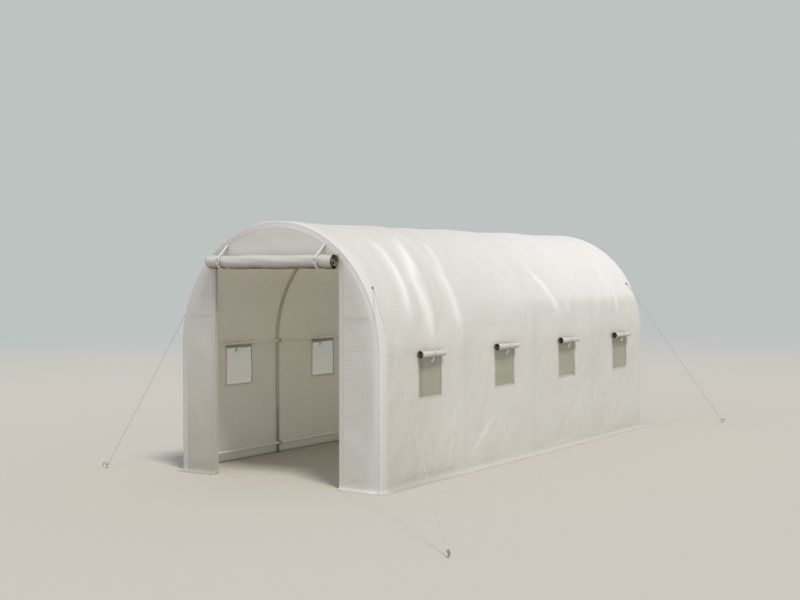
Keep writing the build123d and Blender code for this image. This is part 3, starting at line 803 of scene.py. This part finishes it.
# Extruded polyester yarn has one even tone and a soft sheen.
net_yarn = plain_finish("olive-grey polyester net yarn", "#C8CAB5", Roughness=0.6)
net_pitch = 0.0035
net_margin = 0.006
net_behind = 0.0035
net_drop = window_top - window_sill + 2 * net_margin
net_sizes = {"Drop": net_drop, "Pitch": net_pitch, "Yarn": 0.0010, "Rows": int(net_drop / net_pitch)}
for side, word in both_sides:
    lines = []
    for y in window_y:
        line_y = np.linspace(y - window_half - net_margin, y + window_half + net_margin, 8)
        reach = wall_reach(side, line_y, window_top) - net_behind
        lines.append((np.stack([side * reach, line_y, 0 * line_y + window_top + net_margin], 1), (0, 0, 1)))
    grown(f"window_nets_{word}", net_tree, lines, net_yarn, net_sizes, [f"window_meshes_{word}"])


# Window flaps: the film of each flap hangs from a seam over its window and is rolled up outwards
# to a loose roll that is open at both ends.
def rolled_sheet(turns, outer, pitch, lead, steps):
    """Section of a sheet that hangs down a wall and is rolled up, with its end curled in loosely.

    Given as columns: out and up from the roll's axis, the angle there, which places are on the
    roll, and how many turns in each is.
    """
    angle = np.linspace(math.pi, math.pi + 2 * math.pi * turns, steps)
    wound = (angle - math.pi) / (2 * math.pi)
    radius = (outer - pitch * wound) * (1 - 0.8 * np.clip(wound - turns + 1.1, 0, 1) ** 1.5)
    hang = np.linspace(lead, 0, 5)[:-1]
    out = np.concatenate([-outer + 0 * hang, radius * np.cos(angle)])[:, None]
    up = np.concatenate([hang, radius * np.sin(angle)])[:, None]
    wound = np.concatenate([-1 + 0 * hang, wound])[:, None]
    return out, up, np.arctan2(up, out), wound >= 0, wound


def unrolled(grid):
    """The flat map of a rolled sheet's grid of points, measured along its first row and middle column."""
    across = np.linalg.norm(np.diff(grid[:, grid.shape[1] // 2], axis=0), axis=1)
    along = np.linalg.norm(np.diff(grid[0], axis=0), axis=1)
    return np.stack(np.meshgrid(*[np.concatenate([[0], np.cumsum(run)]) for run in (along, across)]), -1)


# Rolled up, the film lies in many layers, which let less light through. Its third tone, olive-brown,
# is painted shade on the roll's underside and in its inner turns, with a painted reflection of dark ground.
rolled_film = film_finish("reinforced film, rolled up", "#CBC9C1", "#B3B1A8", 0.35, 0.04, "#665419")
flap_length = 0.330
flap_shift = -0.008
flap_radius = 0.0285
flap_turns = 2.8
flap_pitch = 0.0021
flap_hang = 0.022
tie_offset = 0.004
flap_lift = 0.0016
solid_radius = 0.029
flap_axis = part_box("window_flaps_right")[1].x - solid_radius
out, up, turn, rolled, wound = rolled_sheet(flap_turns, flap_radius, flap_pitch, flap_hang, 100)
# Painted shade: each flap roll darkens on its underside and in its inner turns.
under = np.clip(-np.sin(turn), 0, 1) * rolled
inner = np.clip((wound - 0.6) * 4, 0, 1) * (0.9 - 0.75 * np.clip(wound - flap_turns + 1.0, 0, 1))
along_y = np.linspace(-flap_length / 2, flap_length / 2, 29)[None, :] + flap_shift
soiled = np.maximum(0.35 * under ** 4, inner) + 0 * along_y
for side, word in both_sides:
    sheets = []
    for number, y in enumerate(window_y):
        pick = random.Random(50 + number)
        taper = pick.uniform(0.06, 0.15)
        phase = [pick.uniform(0, 6.28) for _ in range(4)]
        tied = np.exp(-((along_y - tie_offset) / 0.020) ** 2)
        swell = 1 - 0.10 * tied + 0.02 * np.sin(along_y * 31 + phase[0])
        swell -= taper * (along_y / flap_length + 0.5)
        wave = 0.035 * np.sin(3 * turn + phase[1] + 9 * along_y)
        wave += 0.02 * np.sin(5 * turn + 14 * along_y + phase[2])
        swell = np.where(rolled, swell * (1 + wave), 1)
        z = window_top + up * swell - 0.002 * rolled * (1 - tied)
        on_wall = wall_reach(1, y + along_y, z) + flap_lift
        x = flap_axis + 0.0015 * np.sin(along_y * 17 + phase[3]) + out * swell
        x = np.where(rolled, np.maximum(x, on_wall), on_wall)
        grid = np.stack([side * x, y + along_y + 0 * x, z], -1)
        flat = unrolled(grid)
        sheets.append((grid, sheet_of(grid)[:, ::-side], flat, soiled))
    piece = add_sheet(f"window_flaps_{word}_rolled", *sheets_joined(sheets), rolled_film,
                      [f"window_flaps_{word}"])


# Flap ties: a white woven tape round each roll, sewn on over the window and knotted below, with
# its end left hanging.
def ribbon(path, across, width, thickness):
    """A flat closed band along a path, with its width in a set direction."""
    path = np.asarray(path, float)
    along = np.gradient(path, axis=0)
    along /= np.linalg.norm(along, axis=1)[:, None]
    across = across - along * (along @ across)[:, None]
    across /= np.linalg.norm(across, axis=1)[:, None]
    face = np.cross(along, across)
    corners = [(-0.5, -0.5), (0.5, -0.5), (0.5, 0.5), (-0.5, 0.5)]
    rings = np.stack([path + a * width * across + b * thickness * face for a, b in corners], 1)
    faces = [(i * 4 + k, (i + 1) * 4 + k, (i + 1) * 4 + (k + 1) % 4, i * 4 + (k + 1) % 4)
             for i in range(len(path) - 1) for k in range(4)]
    last = 4 * (len(path) - 1)
    faces += [(0, 1, 2, 3), (last + 3, last + 2, last + 1, last)]
    return rings.reshape(-1, 3), faces


# Weaving gives webbing ribs across it and a slight fuzz. The ribs are drawn 2.4 mm apart, a little
# coarser than real ones.
rib_mm = 2.4
ribs = ("ShaderNodeTexWave", 1, {"bands_direction": "Z"},
        {"Scale": 100 * math.pi / rib_mm, "Distortion": 0.3})
webbing = plain_finish("white woven polyester webbing", ("#BFBDB6", "#D8D6D0", ribs),
                       relief=(0.4, 0.0004, ribs), Roughness=0.7, Sheen_Weight=0.15)

tie_width = 0.012
tie_thickness = 0.0009
tie_lift = 0.0026
tie_sewn = (0.034, 0.028)
knot_out = 0.004
knot_drop = 0.005
knot_width = 0.009
knot_thickness = 0.0028
tie_ring = flap_radius * 0.935 + 0.0012
turn = np.linspace(math.pi * 0.93, -math.pi * 0.75, 34)
run = np.linspace(0, 1, 9)
for side, word in both_sides:
    bands = []
    for number, y in enumerate(window_y):
        pick = random.Random(70 + number)
        tie_y = y + tie_offset
        loop = [(wall_reach(1, tie_y, window_top + rise) + tie_lift, tie_y, window_top + rise)
                for rise in tie_sewn]
        loop += [(flap_axis + tie_ring * math.cos(a), tie_y, window_top + tie_ring * math.sin(a))
                 for a in turn]
        bands.append(ribbon(loop, (0, 1, 0), tie_width, tie_thickness))
        for drift, length in ((-0.022, 0.040), (0.016, 0.028)):
            tail = np.stack([flap_axis + knot_out - 0.006 * run + 0.003 * np.sin(4 * run + number),
                             tie_y + drift * run ** 1.3 + pick.uniform(-0.002, 0.002) * run,
                             window_top - tie_ring - 0.001 - length * run], 1)
            bands.append(ribbon(tail, (0.2, 1, 0), tie_width, tie_thickness))
        knot = [(flap_axis + knot_out + 0.004 * math.cos(a), tie_y + 0.007 * math.sin(a),
                 window_top - tie_ring - knot_drop) for a in np.linspace(0, 2 * math.pi, 12)]
        bands.append(ribbon(knot, (0, 0, 1), knot_width, knot_thickness))
    points, faces = joined(bands)
    points = [(side * x, y, z) for x, y, z in points]
    add_piece(f"window_ties_{word}_tied", points, [face[::side] for face in faces], webbing, "webbing",
              [f"window_ties_{word}"], smooth=False)


# Door: one sheet of film that hangs from the gable and is rolled up over the doorway. The roll
# is gathered in at its straps, closed at its left end and open at its right end.
roll_y = node_middle("door_roll").y
roll_radius = 0.0545
roll_turns = 6.1
roll_pitch = 0.0036
roll_hang = 0.050
strap_at = (-0.490, 0.490)
roll_from, roll_to = -0.655, 0.627
closed_end = 0.05
door_plane = -half_length - 0.0022
out, up, turn, rolled, wound = rolled_sheet(roll_turns, roll_radius, roll_pitch, roll_hang, 230)
x = np.concatenate([np.linspace(roll_from, roll_from + closed_end, 9)[:-1],
                    np.linspace(roll_from + closed_end, roll_to, 88)])[None, :]
held = sum(np.exp(-((x - s) / 0.045) ** 2) for s in strap_at)
swell = 1.025 - 0.065 * held + 0.014 * np.sin(x * 7.3 + 1) + 0.012 * np.sin(x * 17)
rounding = np.minimum(1, (x - roll_from) / closed_end)
closing = 0.14 + 0.86 * np.sqrt(1 - (1 - rounding) ** 2)
wave = 0.022 * np.sin(3 * turn + 1.4 * np.sin(6 * x)) + 0.016 * np.sin(6 * turn + 11 * x)
wave += 0.030 * np.exp(-((turn + 1.9 + 0.25 * np.sin(9 * x)) / 0.16) ** 2) * (1 - 0.7 * held)
wave += 0.022 * np.exp(-((turn - 0.9 + 0.3 * np.sin(5 * x + 2)) / 0.14) ** 2) * (1 - 0.7 * held)
size = np.where(rolled, swell * (1 + wave) * closing, 1.0)
y = np.where(rolled, np.minimum(roll_y - out * size, door_plane), door_plane)
z = door_height + up * size - (0.004 + 0.002 * np.sin(x * 13)) * rolled * (1 - np.minimum(held, 1))
grid = np.stack([x + 0 * y, y, z], -1)
flat = unrolled(grid)
# Painted shade and a painted reflection of dark ground: the roll darkens to olive-brown on its underside,
# and its inner turns are dark.
under = np.clip(-np.sin(turn) - 0.05, 0, 1) * rolled
inner = np.clip((wound - 0.6) * 4, 0, 1) * (0.75 - 0.6 * np.clip(wound - roll_turns + 1.0, 0, 1))
soiled = np.maximum(np.clip(1.2 * under ** 2, 0, 1), inner)
soiled = np.clip(soiled * (0.92 + 0.08 * np.sin(np.linspace(0, 46, x.size)))[None, :], 0, 1)
door_sheet = add_sheet("door_sheet_rolled", grid, sheet_of(grid)[:, ::-1], flat,
                       {"soiled": soiled, "doubled": 0 * soiled}, rolled_film, ["door_roll"])


# Door straps and buckles: white webbing that hangs straight round the roll, closed by a moulded
# ladder buckle, with the strap's end hanging below it. Moulding leaves a fine grain on acetal.
clouds = ("ShaderNodeTexNoise", 0, (), {"Scale": 35.0, "Detail": 3.0})
grain = ("ShaderNodeTexNoise", 0, (), {"Scale": 900.0, "Detail": 2.0})
# The buckles are toned a little grey, a painted shade for the shade in their slots.
moulded = plain_finish("white moulded acetal", ("#C9C8C2", "#D8D7D1", clouds),
                       relief=(0.15, 0.0003, grain), Roughness=0.38)

strap_lean = math.radians(17)
strap_rise = 0.125
strap_width = 0.024
strap_thickness = 0.0018
tail_reach = 0.0605


def hung_straight(node, stiff):
    """A node's mesh with its lean taken out: by a shear, or if it is stiff by turning it upright."""
    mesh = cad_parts[node].data
    places = np.array([v.co for v in mesh.vertices])
    if stiff:
        middle = np.sign(places[:, 0]) * strap_at[1]
        x = places[:, 0] - middle + strap_rise * math.tan(strap_lean)
        z = places[:, 2] - door_height
        places[:, 0] = middle + x * math.cos(strap_lean) - z * math.sin(strap_lean)
        places[:, 2] = door_height + x * math.sin(strap_lean) + z * math.cos(strap_lean)
    else:
        places[:, 0] += (strap_rise + door_height - places[:, 2]) * math.tan(strap_lean)
    points, merged = np.unique(np.round(places, 6), axis=0, return_inverse=True)
    merged = merged.reshape(-1)
    return points, [tuple(int(merged[i]) for i in face.vertices) for face in mesh.polygons]


add_piece("door_straps_hung", *hung_straight("door_straps", False), webbing, "webbing", ["door_straps"],
          smooth=False)
add_piece("door_buckles_hung", *hung_straight("door_buckles", True), moulded, "buckle", ["door_buckles"],
          smooth=False)
turn = np.radians(np.linspace(6, 62, 14))
bands = []
for number, x in enumerate(strap_at):
    reach = tail_reach + 0.001 * number
    tail = np.stack([x - 0.05 * reach * np.sin(turn), roll_y - reach * np.cos(turn),
                     door_height - reach * np.sin(turn)], 1)
    bands.append(ribbon(tail, (1, 0, 0), strap_width, strap_thickness))
add_piece("door_strap_ends", *joined(bands), webbing, "webbing", smooth=False)


# Door zips: a woven tape sewn down each edge of the doorway, with a coil of nylon teeth along
# the edge. Tape ribs and teeth are drawn 4 mm apart, coarser than real ones, so that they show.
tape, tree = new_finish("woven zip tape")
place = add_node(tree, "ShaderNodeTexCoord").outputs["Object"]
rib_mm = 4.0
ribs = add_node(tree, "ShaderNodeTexWave", {"bands_direction": "X"},
                {"Vector": place, "Scale": 100 * math.pi / rib_mm, "Distortion": 0.1}).outputs[1]
parts = add_node(tree, "ShaderNodeSeparateXYZ", (), {0: place}).outputs
left = add_node(tree, "ShaderNodeMapRange", (),
                {"Value": parts["X"], "From Min": 0.5, "From Max": -0.5})
# Painted shade: the tape on the left of the doorway darkens towards the bottom, as the panel beside it does.
left_panel_shade = add_node(tree, "ShaderNodeMapRange", (),
                 {"Value": parts["Z"], "From Max": 1.3, "To Min": 0.42, "To Max": 0.08})
left_panel_shade = add_node(tree, "ShaderNodeMath", {"operation": "MULTIPLY"}, {0: left_panel_shade, 1: left})
tone = toned(tree, "#C4C1B8", (ribs, "#D6D3CA"), (left_panel_shade, "#8E8468"))
surfaced(tree, tone, (0.5, 0.0006, ribs), Roughness=0.7)

# A coil of nylon monofilament is smooth, and a little shinier than its tape.
coil = plain_finish("nylon zip coil", "#BEBBB0", Roughness=0.4)

zip_width = 0.040
zip_thickness = 0.0010
zip_lift = 0.0016
coil_inset = 0.0035
coil_lift = 0.0028
run_z = np.linspace(skirt_top, door_height, 60)
on_skirt = [(flare, z, min(1, flare / 0.02)) for flare, z in skirt_line[1:]]
bands, teeth = [], []
for side in (-1, 1):
    path = [(side * (door_half + (zip_width + flare) / 2),
             -half_length - 0.96 * flare - zip_lift * (1 - lying),
             z + zip_lift * lying) for flare, z, lying in on_skirt]
    path += [(side * (door_half + zip_width / 2), -half_length - zip_lift, z) for z in run_z]
    bands.append(ribbon(path, (1, 0, 0), zip_width, zip_thickness))
    coil_line = [(side * (door_half + coil_inset), -half_length - coil_lift, z) for z in run_z]
    teeth.append((coil_line, (0, -1, 0)))
add_piece("door_zip_tapes", *joined(bands), tape, "zip", ["door_zips"], smooth=False)
grown("door_zip_teeth", row_of_bits, teeth, coil,
      {"Spacing": 0.004, "Length": 0.0026, "Width": 0.007, "Thickness": 0.0018, "Sides": 6})


# Clips: blocks of grey moulded plastic that hold each rail to its hoop, with a matt fine grain
# from the mould.
grain = ("ShaderNodeTexNoise", 0, (), {"Scale": 1200.0, "Detail": 2.0})
grey_moulded = plain_finish("grey moulded nylon", ("#B4B3AC", "#C2C1BA", grain),
                            relief=(0.2, 0.0003, grain), Roughness=0.5)
for row in ("ridge_clips", "eaves_clips_right", "eaves_clips_left", "base_clips_right", "base_clips_left"):
    dress(row, grey_moulded)


# Clip screws: a zinc-plated pan head in each clip's inner face, which locks the rail.
def pan_head(place, outward):
    """A low domed screw head with a recess, on a face that looks outward."""
    up, side = Vector(outward), Vector((0, 1, 0))
    other = up.cross(side)
    sides = 12
    rings = [(0.0042, 0.0), (0.0041, 0.0012), (0.0032, 0.0021), (0.0016, 0.0025)]
    points = [Vector(place) + up * h + (side * math.cos(a) + other * math.sin(a)) * r
              for r, h in rings for a in np.linspace(0, 2 * math.pi, sides, endpoint=False)]
    points.append(Vector(place) + up * 0.0012)
    inmost = (len(rings) - 1) * sides
    faces = [(i + j, i + (j + 1) % sides, i + sides + (j + 1) % sides, i + sides + j)
             for i in range(0, inmost, sides) for j in range(sides)]
    faces += [(inmost + j, inmost + (j + 1) % sides, len(points) - 1) for j in range(sides)]
    faces.append(tuple(range(sides - 1, -1, -1)))
    return points, faces


# Zinc plating is bright and thin, and stains to duller clouds outdoors.
clouds = ("ShaderNodeTexNoise", 0, (), {"Scale": 120.0, "Detail": 4.0})
plated = plain_finish("zinc-plated steel", ("#8F908C", "#B9B9B2", clouds), rough=(0.28, 0.5, clouds),
                      Metallic=0.9)

clip_depth = 0.0368
clip_reach = hoop_line - clip_depth
heads = [pan_head((0, y, wall_height + clip_reach), (0, 0, -1)) for y in hoop_y]
for side in (-1, 1):
    for z in (node_middle("base_rail_right").z, wall_height):
        heads += [pan_head((side * clip_reach, y, z), (-side, 0, 0)) for y in hoop_y]
add_piece("clip_screws", *joined(heads), plated, "eyelet", smooth=False)


# Guy ropes: thin twisted polypropylene rope from a plated eyelet in the roof to a steel peg. Its
# three strands show as slanting ridges, one turn every 14 mm.
def rope_run(path, radius):
    """A round rope along a path: points, faces and its map (along in metres, round from 0 to 1)."""
    path = np.asarray(path, float)
    sides = 8
    points, faces = tube_along(path, radius, sides, capped=False)
    length = np.concatenate([[0], np.cumsum(np.linalg.norm(np.diff(path, axis=0), axis=1))])
    flat = [(length[i + (k in (2, 3))], (j + (k in (1, 2))) / sides)
            for i in range(len(path) - 1) for j in range(sides) for k in range(4)]
    return points, faces, flat


dress("rope_eyelets", plated)
dress("rope_pegs", plated)

lay_mm = 14.0
rope_finish, tree = new_finish("twisted white polypropylene rope")
flat = add_node(tree, "ShaderNodeUVMap", {"uv_map": "UVMap"})
parts = add_node(tree, "ShaderNodeSeparateXYZ", (), {0: flat}).outputs
along = add_node(tree, "ShaderNodeMath", {"operation": "MULTIPLY"}, {0: parts[0], 1: 1000 / lay_mm})
twist = add_node(tree, "ShaderNodeMath", {"operation": "ADD"}, {0: along, 1: parts[1]})
strands = add_node(tree, "ShaderNodeMath", {"operation": "PINGPONG"}, {0: twist, 1: 1 / 6})
strands = add_node(tree, "ShaderNodeMapRange", {"interpolation_type": "SMOOTHSTEP"},
                   {"Value": strands, "From Max": 0.09})
tone = toned(tree, "#A3A39C", (strands, "#CACAC4"))
surfaced(tree, tone, (0.7, 0.0008, strands), Roughness=0.55)

rope_radius = 0.0025
rope_foot = 0.020
knot_inset = 0.007
knot_radius = 0.0042
hitch_radius = 0.0052
hitch_gap = 0.004
shank_radius = 0.0035
shank_gap = 0.0003
peg_ring = shank_radius + shank_gap + rope_radius
up_arch = math.radians(29.34)
rearward = np.array([0, 1.0, 0])
for corner in ("front_right", "front_left", "rear_right", "rear_left"):
    side = 1 if "right" in corner else -1
    end = -1 if "front" in corner else 1
    low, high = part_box(f"rope_{corner}")
    inner, outer = (low, high) if side > 0 else (high, low)
    near, far = (high, low) if end < 0 else (low, high)
    top = np.array([inner.x + side * knot_inset, near.y + end * knot_inset, high.z - knot_inset])
    loop_reach = peg_ring + rope_radius
    peg = np.array([outer.x - side * loop_reach, far.y - end * loop_reach, rope_foot])
    away = (peg - top)[:2] / np.linalg.norm((peg - top)[:2])
    start = peg - np.array([*away, 0]) * (peg_ring + hitch_gap)
    start[2] += hitch_gap
    parts = [rope_run(top + (start - top) * np.linspace(0, 1, 40)[:, None], rope_radius)]
    turns = np.linspace(-math.pi, math.pi, 25)
    round_peg = np.stack([np.cos(turns), np.sin(turns), 0.12 * turns / math.pi], 1)
    parts.append(rope_run(peg + peg_ring * round_peg, rope_radius))
    back = (top - start) / np.linalg.norm(top - start)
    beside = np.cross(back, (0, 0, 1.0))
    beside /= np.linalg.norm(beside)
    above = np.cross(beside, back)
    turns = np.linspace(0, 5 * math.pi, 60)[:, None]
    hitch = hitch_radius * (np.cos(turns) * beside + np.sin(turns) * above)
    hitch += back * (hitch_gap + 0.0034 * turns / math.pi)
    parts.append(rope_run(start + hitch, rope_radius * 0.9))
    out = np.array([side * math.cos(up_arch), 0, math.sin(up_arch)])
    over = np.cross(out, rearward)
    turns = np.linspace(0, 4 * math.pi, 60)[:, None]
    knot = knot_radius * (np.cos(turns) * over + np.sin(turns) * rearward) * (1 + 0.25 * np.sin(1.5 * turns))
    parts.append(rope_run(top + knot + out * 0.0016 * np.sin(1.5 * turns), rope_radius))
    piece = add_piece(f"rope_{corner}_twisted", *joined([part[:2] for part in parts]), rope_finish, "rope",
                      [f"rope_{corner}"])
    layer = piece.data.uv_layers.new(name="UVMap")
    layer.data.foreach_set("uv", np.array([f for _, _, flat in parts for f in flat], np.float32).reshape(-1))
